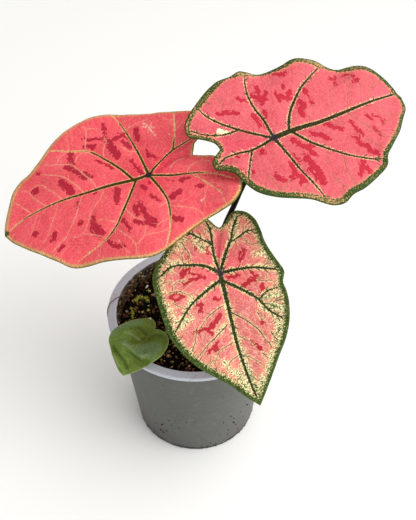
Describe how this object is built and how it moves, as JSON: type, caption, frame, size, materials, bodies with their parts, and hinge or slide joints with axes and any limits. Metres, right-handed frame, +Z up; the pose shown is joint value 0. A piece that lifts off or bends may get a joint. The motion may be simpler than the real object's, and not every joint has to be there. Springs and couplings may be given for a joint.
{
  "type": "potted caladium",
  "caption": "Potted caladium: pink heart-shaped leaves with red blotches on thin dark stems, a small green young leaf, dark potting mix, and a round grey nursery pot.",
  "frame": {"origin": "middle of the pot's underside, on the surface that the pot stands on", "axes": "+Z up along the pot's axis; in the picture +X is to the right and +Y away from the viewer"},
  "size_m": [0.2435, 0.1399, 0.2724],
  "materials": {
    "pot_plastic": "satin",
    "potting_mix": "matte",
    "tuber_skin": "matte",
    "petiole_skin": "satin",
    "leaf_pink": "satin",
    "leaf_mottled": "satin",
    "leaf_green": "satin"
  },
  "bodies": {
    "root": {"pot": "pot_plastic", "soil": "potting_mix", "tuber": "tuber_skin", "petiole_left": "petiole_skin", "petiole_right": "petiole_skin", "petiole_front": "petiole_skin", "petiole_small": "petiole_skin", "leaf_blade_left": "leaf_pink", "leaf_blade_right": "leaf_pink", "leaf_blade_front": "leaf_mottled", "leaf_blade_small": "leaf_green"}
  },
  "joints": []
}
